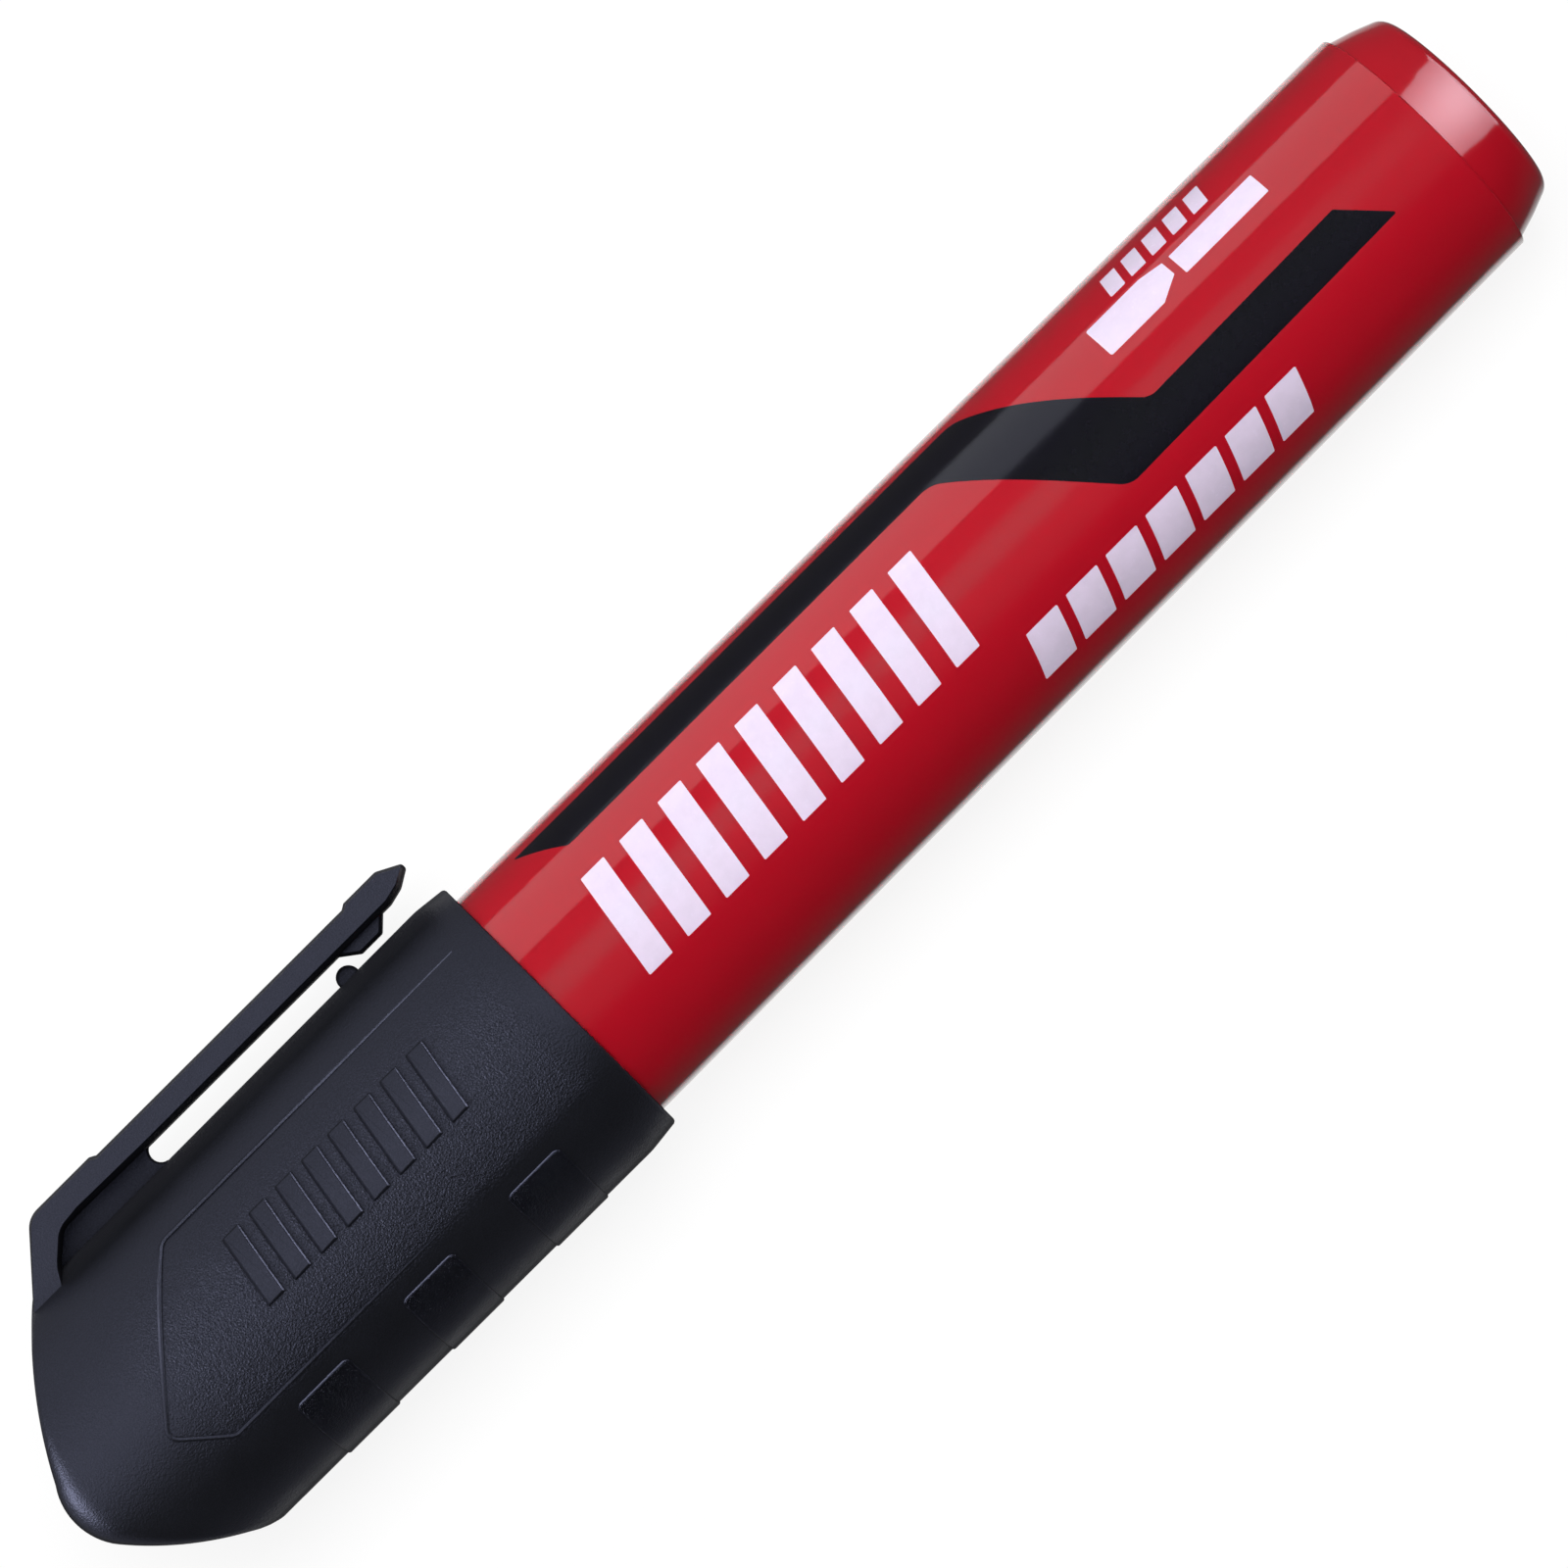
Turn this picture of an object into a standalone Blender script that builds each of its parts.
"""Felt tip marker with a push-on cap, lying along +X.

The origin is the centre of the flat end face, +X points to the writing tip and +Z is up.
The cap's clip is on the -Y side and its grip pads are on the +Y side.
All lengths are in metres. Each real piece is one closed solid in its own object.
"""

import math

import bmesh
import bpy

SEGMENTS = 48
GAP = 0.0003

# Barrel, a tapered tube that is open at both ends
BARREL_X = 0.0040
BARREL_R = 0.01075
SHOULDER_X = 0.0970
SHOULDER_R = 0.01112
BARREL_FRONT_X = 0.1125
SEAT_R = 0.01070
SEAT_BEAD_X = 0.1020
SEAT_BEAD_R = 0.01100
BARREL_BORE_R = 0.0096
BARREL_EDGE = 0.0003

# End plug, a cup pressed into the rear of the barrel
PLUG_FACE_R = 0.00845
PLUG_EDGE = 0.0004
PLUG_RIM_R = 0.01025
PLUG_SPIGOT_X = 0.0120
PLUG_WALL = 0.0014

# Nib holder, pressed into the front of the barrel
HOLDER_REAR_X = 0.1045
HOLDER_HOLLOW_R = 0.0080
HOLDER_HOLLOW_X = 0.1110
HOLDER_ROUNDING = 0.0010
COLLAR_LENGTH = 0.0022
CONE_END_X = 0.1190
NECK_R = 0.0073
NECK_END_X = 0.1276

# Chisel nib, a slab of pressed felt
NIB_TAIL_X = 0.0970
NIB_SHOULDER_X = 0.1063
NIB_TAPER_X = 0.1310
NIB_TIP_X = 0.1392
NIB_HEEL_X = 0.1352
NIB_WIDTH = 0.0100
NIB_THICKNESS = 0.0050
NIB_TIP_THICKNESS = 0.0018
TAIL_WIDTH = 0.0060
TAIL_THICKNESS = 0.0034

# Ink reservoir, its film wrap and the straw that lets air in
RESERVOIR_X = 0.0140
RESERVOIR_FRONT_X = 0.1042
RESERVOIR_R = 0.0082
WRAP_INNER_R = 0.0085
WRAP_OUTER_R = 0.0089
STRAW_Z = 0.0073
STRAW_R = 0.0008
STRAW_BORE_R = 0.0004
STRAW_SEGMENTS = 16

# Cap
CAP_RIM_X = 0.0965
CAP_RIM_R = 0.01240
CAP_EDGE = 0.0002
CAP_LIP_X = 0.0993
CAP_LIP_R = 0.01272
CAP_NOSE_X = 0.1389
CAP_NOSE_R = 0.01257
CAP_END_X = 0.1510
CAP_MOUTH_R = 0.01145
CAP_MOUTH_END_X = 0.1180
CAP_BORE_R = 0.0112
CAP_WALL = 0.0015

# Outline of the cap's nose in the XY plane: straight flanks, two slants and a rounded apex
NOSE_SHOULDER = (0.1400, 0.01215)
NOSE_UPPER = (0.1490, 0.00513)
NOSE_LOWER = (0.1490, -0.00126)
NOSE_SLANT = (0.1430, -0.00973)
NOSE_CORNER = (0.1375, -0.01589)
NOSE_UPPER_RADIUS = 0.028
NOSE_APEX_RADIUS = 0.0053
NOSE_LOWER_RADIUS = 0.051

# Clip: the root stands on the cap, the arm bends at the root
CLIP_HALF_WIDTH = 0.0050
CLIP_OUTER_Y = -0.01673
CLIP_INNER_Y = -0.01450
CLIP_PAD_Y = -0.01702
CLIP_TIP_X = 0.0975
CLIP_TIP_Y = -0.0158
CLIP_TIP_RADIUS = 0.0035
CLIP_BROW_X = 0.1004
CLIP_CHIN_X = 0.0994
CLIP_CHIN_LENGTH = 0.0033
CLIP_STEP = 0.0005
CLIP_PIVOT = (0.1280, -0.0156, 0.0)
ROOT_X = CLIP_PIVOT[0] + GAP
ROOT_STEP_X = 0.1294
ROOT_INNER_Y = -0.0150
ROOT_CORNER_X = 0.1352
ROOT_CORNER_RADIUS = 0.0030
ROOT_BEND_X = 0.1330
ROOT_BEND = (0.1365, -0.0133)
ROOT_BEND_RADIUS = 0.0048
ROOT_INSIDE = (0.1392, -0.0097)
WEB_HALF_WIDTH = 0.0010
WEB_X = 0.1265
WEB_TOP_Y = -0.0120
WEB_END_X = 0.1360
TOOTH_X = 0.1010
TOOTH_LENGTH = 0.0047
TOOTH_TOP = (0.1022, 0.1043)
TOOTH_Y = -0.01328
TOOTH_HALF_WIDTH = 0.0025
BEAD_X = 0.10635
BEAD_Y = -0.01275
BEAD_R = 0.00095
BEAD_HALF_LENGTH = 0.0012
BEAD_STEPS = 16

# Grip pads, three shallow raised patches
PAD_X = 0.1039
PAD_LENGTH = 0.00535
PAD_PITCH = 0.01105
PAD_COUNT = 3
PAD_HEIGHT = 0.00012
PAD_HALF_ANGLE = math.radians(54)
PAD_STEPS = 16

# Cap liner, the inner cup that seals the nib, and the ribs that hold it
LINER_X = 0.1202
LINER_END_X = 0.1405
LINER_R = 0.0085
LINER_WALL = 0.0008
LINER_ROUNDING = 0.0017
RIB_X = 0.1250
RIB_END_X = 0.1366
RIB_COUNT = 6
RIB_THICKNESS = 0.0012


def material(name, color, roughness, alpha=1.0):
    """A plastic or felt material with the given colour and roughness."""
    made = bpy.data.materials.new(name)
    made.use_nodes = True
    shader = made.node_tree.nodes["Principled BSDF"]
    shader.inputs["Base Color"].default_value = (*color, 1.0)
    shader.inputs["Roughness"].default_value = roughness
    shader.inputs["Metallic"].default_value = 0.0
    shader.inputs["Alpha"].default_value = alpha
    return made


def new_object(name, bm, mat):
    """An object from a bmesh, with faces pointing out and smooth round surfaces."""
    bmesh.ops.recalc_face_normals(bm, faces=bm.faces)
    mesh = bpy.data.meshes.new(name)
    bm.to_mesh(mesh)
    bm.free()
    mesh.shade_smooth()
    mesh.set_sharp_from_angle(angle=math.radians(30))
    if mat:
        mesh.materials.append(mat)
    obj = bpy.data.objects.new(name, mesh)
    bpy.context.scene.collection.objects.link(obj)
    return obj


def hide_cutter(obj):
    """Marks an object as a cutter or a shape that is joined into another."""
    obj.hide_render = True
    obj.display_type = "WIRE"
    return obj


def ring(bm, x, radius, count):
    """Vertices of a circle about the X axis, or one vertex on the axis."""
    if radius == 0:
        return [bm.verts.new((x, 0, 0))]
    verts = []
    for i in range(count):
        angle = 2 * math.pi * (i + 0.5) / count
        verts.append(bm.verts.new((x, radius * math.sin(angle), radius * math.cos(angle))))
    return verts


def skin(bm, first, second):
    """Faces between two rings."""
    count = max(len(first), len(second))
    for i in range(count):
        j = (i + 1) % count
        corners = [first[i % len(first)], first[j % len(first)]]
        corners += [second[j % len(second)], second[i % len(second)]]
        bm.faces.new(list(dict.fromkeys(corners)))


def turned(name, profile, mat, loop=False, count=SEGMENTS):
    """A solid turned about the X axis. A loop profile closes on itself and leaves a bore."""
    bm = bmesh.new()
    rings = [ring(bm, x, radius, count) for x, radius in profile]
    for first, second in zip(rings, rings[1:]):
        skin(bm, first, second)
    if loop:
        skin(bm, rings[-1], rings[0])
    return new_object(name, bm, mat)


def add_prism(bm, outline, low, high, origin=(0, 0)):
    """Adds an XY outline extruded from z low to z high."""
    verts = [bm.verts.new((x - origin[0], y - origin[1], low)) for x, y in outline]
    face = bm.faces.new(verts)
    made = bmesh.ops.extrude_face_region(bm, geom=[face])
    for item in made["geom"]:
        if isinstance(item, bmesh.types.BMVert):
            item.co.z = high


def prism(name, outline, half_width, mat=None, origin=(0, 0)):
    """An XY outline extruded evenly to both sides of the XY plane."""
    bm = bmesh.new()
    add_prism(bm, outline, -half_width, half_width, origin)
    return new_object(name, bm, mat)


def boolean(obj, other, operation):
    """Cuts, joins or intersects obj with another closed shape."""
    modifier = obj.modifiers.new(other.name, "BOOLEAN")
    modifier.operation = operation
    modifier.object = hide_cutter(other)
    modifier.solver = "EXACT"


def arc(start, end, radius, steps):
    """Points of an arc from start to end that bulges to the right of its direction."""
    dx = end[0] - start[0]
    dy = end[1] - start[1]
    chord = math.hypot(dx, dy)
    depth = math.sqrt(radius**2 - (chord / 2) ** 2)
    cx = (start[0] + end[0]) / 2 - dy / chord * depth
    cy = (start[1] + end[1]) / 2 + dx / chord * depth
    first = math.atan2(start[1] - cy, start[0] - cx)
    sweep = 2 * math.asin(chord / 2 / radius)
    points = []
    for i in range(steps + 1):
        angle = first + sweep * i / steps
        points.append((cx + radius * math.cos(angle), cy + radius * math.sin(angle)))
    return points


def box_outline(start, end, half):
    """A rectangle from x start to x end, centred on the X axis."""
    return [(start, -half), (end, -half), (end, half), (start, half)]


def joined(*pieces):
    """One outline from several, without repeated points."""
    points = []
    for piece in pieces:
        for point in piece:
            if not points or math.dist(points[-1], point) > 1e-6:
                points.append(point)
    return points


def inset(outline, distance):
    """A counterclockwise outline moved inward by a distance."""
    count = len(outline)
    moved = []
    for i, (x, y) in enumerate(outline):
        before = outline[i - 1]
        after = outline[(i + 1) % count]
        first = math.atan2(y - before[1], x - before[0])
        second = math.atan2(after[1] - y, after[0] - x)
        turn = (second - first + math.pi) % (2 * math.pi) - math.pi
        middle = first + turn / 2
        reach = distance / math.cos(turn / 2)
        moved.append((x - math.sin(middle) * reach, y + math.cos(middle) * reach))
    return moved


def barrel_radius(x):
    """Outer radius of the barrel, which tapers evenly to the rear."""
    share = (x - BARREL_X) / (SHOULDER_X - BARREL_X)
    return BARREL_R + share * (SHOULDER_R - BARREL_R)


def cap_radius(x):
    """Outer radius of the cap between its lip and its nose."""
    share = (x - CAP_LIP_X) / (CAP_NOSE_X - CAP_LIP_X)
    return CAP_LIP_R + share * (CAP_NOSE_R - CAP_LIP_R)


def make_barrel(mat):
    """The tube, with a step and a snap bead where the cap sits."""
    edge = BARREL_EDGE
    bead = SEAT_BEAD_R - SEAT_R
    outside = [
        (BARREL_X, BARREL_R - edge),
        (BARREL_X + edge, barrel_radius(BARREL_X + edge)),
        (SHOULDER_X, SHOULDER_R),
        (SHOULDER_X + SHOULDER_R - SEAT_R, SEAT_R),
        (SEAT_BEAD_X - bead, SEAT_R),
        (SEAT_BEAD_X, SEAT_BEAD_R),
        (SEAT_BEAD_X + bead, SEAT_R),
        (BARREL_FRONT_X - edge, SEAT_R),
        (BARREL_FRONT_X, SEAT_R - edge),
    ]
    bore = [(BARREL_FRONT_X, BARREL_BORE_R), (BARREL_X, BARREL_BORE_R)]
    return turned("barrel_tube", outside + bore, mat, loop=True)


def make_plug(mat):
    """A cup with a conical flange, open to the inside of the barrel."""
    spigot_r = BARREL_BORE_R - GAP
    rim_x = BARREL_X - GAP
    hollow_r = spigot_r - PLUG_WALL
    profile = [
        (0, 0),
        (0, PLUG_FACE_R),
        (PLUG_EDGE * 0.3, PLUG_FACE_R + PLUG_EDGE * 0.7),
        (PLUG_EDGE, PLUG_FACE_R + PLUG_EDGE),
        (rim_x, PLUG_RIM_R),
        (rim_x, spigot_r),
        (PLUG_SPIGOT_X - BARREL_EDGE, spigot_r),
        (PLUG_SPIGOT_X, spigot_r - BARREL_EDGE),
        (PLUG_SPIGOT_X, hollow_r),
        (PLUG_WALL * 2, hollow_r),
        (PLUG_WALL, hollow_r - PLUG_WALL),
        (PLUG_WALL, 0),
    ]
    return turned("end_plug", profile, mat)


def make_holder(mat):
    """Spigot, collar, cone and neck in one piece, with a slot for the nib."""
    spigot_r = BARREL_BORE_R - GAP
    collar_x = BARREL_FRONT_X + GAP
    collar_end_x = collar_x + COLLAR_LENGTH
    edge = BARREL_EDGE
    profile = [
        (HOLDER_HOLLOW_X, 0),
        (HOLDER_HOLLOW_X, HOLDER_HOLLOW_R - HOLDER_ROUNDING),
        (HOLDER_HOLLOW_X - HOLDER_ROUNDING, HOLDER_HOLLOW_R),
        (HOLDER_REAR_X, HOLDER_HOLLOW_R),
        (HOLDER_REAR_X, spigot_r),
        (collar_x, spigot_r),
        (collar_x, SEAT_R - edge),
        (collar_x + edge, SEAT_R),
        (collar_end_x - edge, SEAT_R),
        (collar_end_x, SEAT_R - edge),
        (CONE_END_X, NECK_R + edge),
        (CONE_END_X + edge * 2, NECK_R),
        (NECK_END_X - edge, NECK_R),
        (NECK_END_X, NECK_R - edge),
        (NECK_END_X, 0),
    ]
    holder = turned("nib_holder", profile, mat)
    slot = box_outline(HOLDER_REAR_X, CAP_END_X, NIB_WIDTH / 2 + GAP)
    boolean(holder, prism("nib_slot", slot, NIB_THICKNESS / 2 + GAP), "DIFFERENCE")
    return holder


def make_nib(mat):
    """A felt slab with a narrow tail and a slanted chisel tip that thins towards its end."""
    half = NIB_WIDTH / 2
    tail = TAIL_WIDTH / 2
    body_x = NIB_SHOULDER_X + half - tail
    along = [(NIB_TAIL_X, tail), (NIB_SHOULDER_X, tail), (body_x, half), (NIB_TAPER_X, half)]
    right = [(x, -y) for x, y in along] + [(NIB_HEEL_X, -half)]
    left = [(NIB_TIP_X, half - BARREL_EDGE), (NIB_TIP_X - BARREL_EDGE, half)] + along[::-1]
    bm = bmesh.new()
    sides = []
    for side in (-1, 1):
        verts = []
        for x, y in right + left:
            verts.append(bm.verts.new((x, y, side * nib_half_thickness(x))))
        sides.append(verts)
    skin(bm, sides[0], sides[1])
    for verts in sides:
        for first, last in ((0, 9), (1, 8), (2, 7)):
            bm.faces.new((verts[first], verts[first + 1], verts[last], verts[last + 1]))
        bm.faces.new(verts[3:8])
    return new_object("nib", bm, mat)


def nib_half_thickness(x):
    """Half the slab's thickness: thin at the tail, full in the middle, thin at the tip."""
    if x <= NIB_SHOULDER_X:
        return TAIL_THICKNESS / 2
    if x <= NIB_TAPER_X:
        return NIB_THICKNESS / 2
    share = (x - NIB_TAPER_X) / (NIB_TIP_X - NIB_TAPER_X)
    return (NIB_THICKNESS + share * (NIB_TIP_THICKNESS - NIB_THICKNESS)) / 2


def make_reservoir(mat):
    """The fibre rod, with a socket for the nib's tail and a groove for the straw."""
    edge = BARREL_EDGE
    profile = [
        (RESERVOIR_X, 0),
        (RESERVOIR_X, RESERVOIR_R - edge),
        (RESERVOIR_X + edge, RESERVOIR_R),
        (RESERVOIR_FRONT_X - edge, RESERVOIR_R),
        (RESERVOIR_FRONT_X, RESERVOIR_R - edge),
        (RESERVOIR_FRONT_X, 0),
    ]
    rod = turned("ink_reservoir", profile, mat)
    past = RESERVOIR_FRONT_X + GAP
    socket = box_outline(NIB_TAIL_X - GAP, past, TAIL_WIDTH / 2 + GAP)
    boolean(rod, prism("tail_socket", socket, TAIL_THICKNESS / 2 + GAP), "DIFFERENCE")
    groove_r = STRAW_R + GAP
    before = RESERVOIR_X - GAP
    ends = [(before, 0), (before, groove_r), (past, groove_r), (past, 0)]
    groove = turned("straw_groove", ends, None, count=STRAW_SEGMENTS)
    groove.location.z = STRAW_Z
    boolean(rod, groove, "DIFFERENCE")
    return rod


def make_tube(name, inner, outer, mat, count=SEGMENTS):
    """A plain tube as long as the reservoir."""
    start = RESERVOIR_X
    end = RESERVOIR_FRONT_X
    profile = [(start, outer), (end, outer), (end, inner), (start, inner)]
    return turned(name, profile, mat, loop=True, count=count)


def nose_outline(start_x):
    """Counterclockwise outline of the cap seen along Z, wider than the round part at its flanks."""
    wide = CAP_LIP_R + CAP_WALL
    clip_side = [(start_x, -wide), (ROOT_CORNER_X, CLIP_PAD_Y), NOSE_CORNER]
    lower = arc(NOSE_SLANT, NOSE_LOWER, NOSE_LOWER_RADIUS, 8)
    apex = arc(NOSE_LOWER, NOSE_UPPER, NOSE_APEX_RADIUS, 12)
    upper = arc(NOSE_UPPER, NOSE_SHOULDER, NOSE_UPPER_RADIUS, 10)
    pad_side = [(CAP_NOSE_X, CAP_NOSE_R), (CAP_NOSE_X - CAP_WALL, wide), (start_x, wide)]
    return joined(clip_side, lower, apex, upper, pad_side)


def make_cap_cavity():
    """The hollow of the cap: a round bore that ends in a smaller copy of the nose."""
    hidden = CAP_RIM_X - CAP_WALL
    profile = [
        (hidden, 0),
        (hidden, CAP_MOUTH_R),
        (CAP_MOUTH_END_X, CAP_MOUTH_R),
        (CAP_MOUTH_END_X + CAP_WALL, CAP_BORE_R),
        (CAP_END_X, CAP_BORE_R),
        (CAP_END_X, 0),
    ]
    cavity = turned("cap_cavity", profile, None)
    nose = inset(nose_outline(hidden - 2 * CAP_WALL), CAP_WALL)
    inner = prism("cavity_nose", nose, 2 * CAP_LIP_R)
    boolean(cavity, inner, "INTERSECT")
    return cavity


def clip_root_outline():
    """The full-width band that runs on from the bar, round the corner and up the slant."""
    start = [(ROOT_X, CLIP_OUTER_Y), (ROOT_STEP_X, CLIP_OUTER_Y), (ROOT_STEP_X + CLIP_STEP, CLIP_PAD_Y)]
    corner = arc((ROOT_CORNER_X, CLIP_PAD_Y), NOSE_CORNER, ROOT_CORNER_RADIUS, 5)
    slant = [NOSE_SLANT, (ROOT_INSIDE[0] + CAP_WALL, ROOT_INSIDE[1]), ROOT_INSIDE]
    bend = arc((ROOT_BEND_X, ROOT_INNER_Y), ROOT_BEND, ROOT_BEND_RADIUS, 5)
    return joined(start, corner, slant, bend[::-1], [(ROOT_X, ROOT_INNER_Y)])


def clip_web_outline():
    """The thinner web that fills the space between the root's band and the cap."""
    return [
        (WEB_X, WEB_TOP_Y),
        (WEB_X, CLIP_INNER_Y + CLIP_STEP),
        (ROOT_X, CLIP_INNER_Y + GAP),
        (ROOT_X, CLIP_PIVOT[1]),
        (WEB_END_X, CLIP_PIVOT[1]),
        (ROOT_BEND[0] + 0.002, WEB_TOP_Y),
    ]


def add_box_rib(bm, angle):
    """Adds one rib that runs along the cap and reaches from its wall to the liner."""
    low = LINER_R + GAP
    high = CAP_BORE_R + CAP_WALL / 3
    half = RIB_THICKNESS / 2
    verts = []
    for x in (RIB_X, RIB_END_X):
        for radius, side in ((low, -half), (high, -half), (high, half), (low, half)):
            y = radius * math.cos(angle) - side * math.sin(angle)
            z = radius * math.sin(angle) + side * math.cos(angle)
            verts.append(bm.verts.new((x, y, z)))
    skin(bm, verts[:4], verts[4:])
    bm.faces.new(verts[:4])
    bm.faces.new(verts[4:])


def make_ribs():
    """The ribs inside the cap that hold the liner."""
    bm = bmesh.new()
    for i in range(RIB_COUNT):
        add_box_rib(bm, 2 * math.pi * (i + 0.5) / RIB_COUNT)
    return new_object("liner_ribs", bm, None)


def add_pad(bm, start):
    """Adds one curved patch centred on the +Y side."""
    end = start + PAD_LENGTH
    high = cap_radius((start + end) / 2) + PAD_HEIGHT
    low = high - CAP_WALL / 2
    loops = []
    for i in range(PAD_STEPS + 1):
        angle = PAD_HALF_ANGLE * (2 * i / PAD_STEPS - 1)
        loop = []
        for x, radius in ((start, low), (end, low), (end, high), (start, high)):
            loop.append(bm.verts.new((x, radius * math.cos(angle), radius * math.sin(angle))))
        loops.append(loop)
    for first, second in zip(loops, loops[1:]):
        skin(bm, first, second)
    bm.faces.new(loops[0])
    bm.faces.new(loops[-1])


def make_pads():
    """The three grip pads."""
    bm = bmesh.new()
    for i in range(PAD_COUNT):
        add_pad(bm, PAD_X + i * PAD_PITCH)
    return new_object("grip_pads", bm, None)


def make_bead():
    """The half-round bead on the cap that the clip's tooth sits behind."""
    outline = []
    for i in range(BEAD_STEPS):
        angle = 2 * math.pi * i / BEAD_STEPS
        outline.append((BEAD_X + BEAD_R * math.cos(angle), BEAD_Y + BEAD_R * math.sin(angle)))
    return prism("clip_bead", outline, BEAD_HALF_LENGTH)


def make_cap(mat):
    """The cap: a round shell whose nose is cut to the outline, with the clip's root on it."""
    rim = CAP_RIM_X
    profile = [
        (rim, 0),
        (rim, CAP_RIM_R - CAP_EDGE),
        (rim + CAP_EDGE, CAP_RIM_R),
        (CAP_LIP_X, CAP_LIP_R),
        (CAP_NOSE_X, CAP_NOSE_R),
        (CAP_END_X, cap_radius(CAP_END_X)),
        (CAP_END_X, 0),
    ]
    cap = turned("cap_shell", profile, mat)
    boolean(cap, prism("cap_outline", nose_outline(rim - CAP_WALL), 2 * CAP_LIP_R), "INTERSECT")
    boolean(cap, prism("clip_root", clip_root_outline(), CLIP_HALF_WIDTH), "UNION")
    boolean(cap, prism("clip_web", clip_web_outline(), WEB_HALF_WIDTH), "UNION")
    boolean(cap, make_bead(), "UNION")
    boolean(cap, make_cap_cavity(), "DIFFERENCE")
    boolean(cap, make_ribs(), "UNION")
    boolean(cap, make_pads(), "UNION")
    return cap


def clip_arm_outline():
    """The bar of the clip with its rounded, thickened free end."""
    chin = arc((CLIP_TIP_X, CLIP_TIP_Y - CLIP_STEP / 5), (CLIP_CHIN_X, CLIP_PAD_Y), CLIP_TIP_RADIUS, 3)
    brow = arc((CLIP_BROW_X, CLIP_INNER_Y), (CLIP_TIP_X, CLIP_TIP_Y), CLIP_TIP_RADIUS, 5)
    step = CLIP_CHIN_X + CLIP_CHIN_LENGTH
    bar = [(step, CLIP_PAD_Y), (step + CLIP_STEP, CLIP_OUTER_Y)]
    bar += [(CLIP_PIVOT[0], CLIP_OUTER_Y), (CLIP_PIVOT[0], CLIP_INNER_Y)]
    return joined(chin, bar, brow)


def make_clip_arm(mat):
    """The springy bar of the clip with the tooth on its inner side. Its origin is where it bends."""
    arm = prism("clip_arm", clip_arm_outline(), CLIP_HALF_WIDTH, mat, CLIP_PIVOT)
    arm.location = CLIP_PIVOT
    sunk = CLIP_INNER_Y - CLIP_STEP
    tooth = [
        (TOOTH_X, sunk),
        (TOOTH_X + TOOTH_LENGTH, sunk),
        (TOOTH_X + TOOTH_LENGTH, CLIP_INNER_Y),
        (TOOTH_TOP[1], TOOTH_Y),
        (TOOTH_TOP[0], TOOTH_Y),
        (TOOTH_X, CLIP_INNER_Y),
    ]
    boolean(arm, prism("clip_tooth", tooth, TOOTH_HALF_WIDTH), "UNION")
    return arm


def make_liner(mat):
    """The inner cup that closes round the neck of the nib holder."""
    inner_r = LINER_R - LINER_WALL
    inner_end = LINER_END_X - LINER_WALL
    rounding = LINER_ROUNDING
    profile = [
        (LINER_END_X, 0),
        (LINER_END_X, LINER_R - rounding),
        (LINER_END_X - rounding * 0.3, LINER_R - rounding * 0.3),
        (LINER_END_X - rounding, LINER_R),
        (LINER_X, LINER_R),
        (LINER_X, inner_r),
        (inner_end - rounding * 0.8, inner_r),
        (inner_end, inner_r - rounding * 0.8),
        (inner_end, 0),
    ]
    return turned("cap_liner", profile, mat)


def build():
    """Makes every piece. The turned ones have their origins on the X axis, which the cap turns about."""
    for obj in list(bpy.data.objects):
        bpy.data.objects.remove(obj)
    red = material("barrel_red", (0.47, 0.018, 0.030), 0.28)
    black = material("cap_black", (0.018, 0.018, 0.022), 0.42)
    white = material("liner_white", (0.80, 0.79, 0.76), 0.45)
    felt = material("nib_felt", (0.36, 0.012, 0.020), 0.95)
    fibre = material("reservoir_fibre", (0.42, 0.020, 0.028), 0.90)
    film = material("clear_film", (0.85, 0.85, 0.86), 0.12, 0.5)
    make_barrel(red)
    make_plug(red)
    make_holder(red)
    make_nib(felt)
    make_reservoir(fibre)
    make_tube("reservoir_wrap", WRAP_INNER_R, WRAP_OUTER_R, film)
    straw = make_tube("breather_tube", STRAW_BORE_R, STRAW_R, white, STRAW_SEGMENTS)
    straw.location.z = STRAW_Z
    make_liner(white)
    make_cap(black)
    make_clip_arm(black)


build()
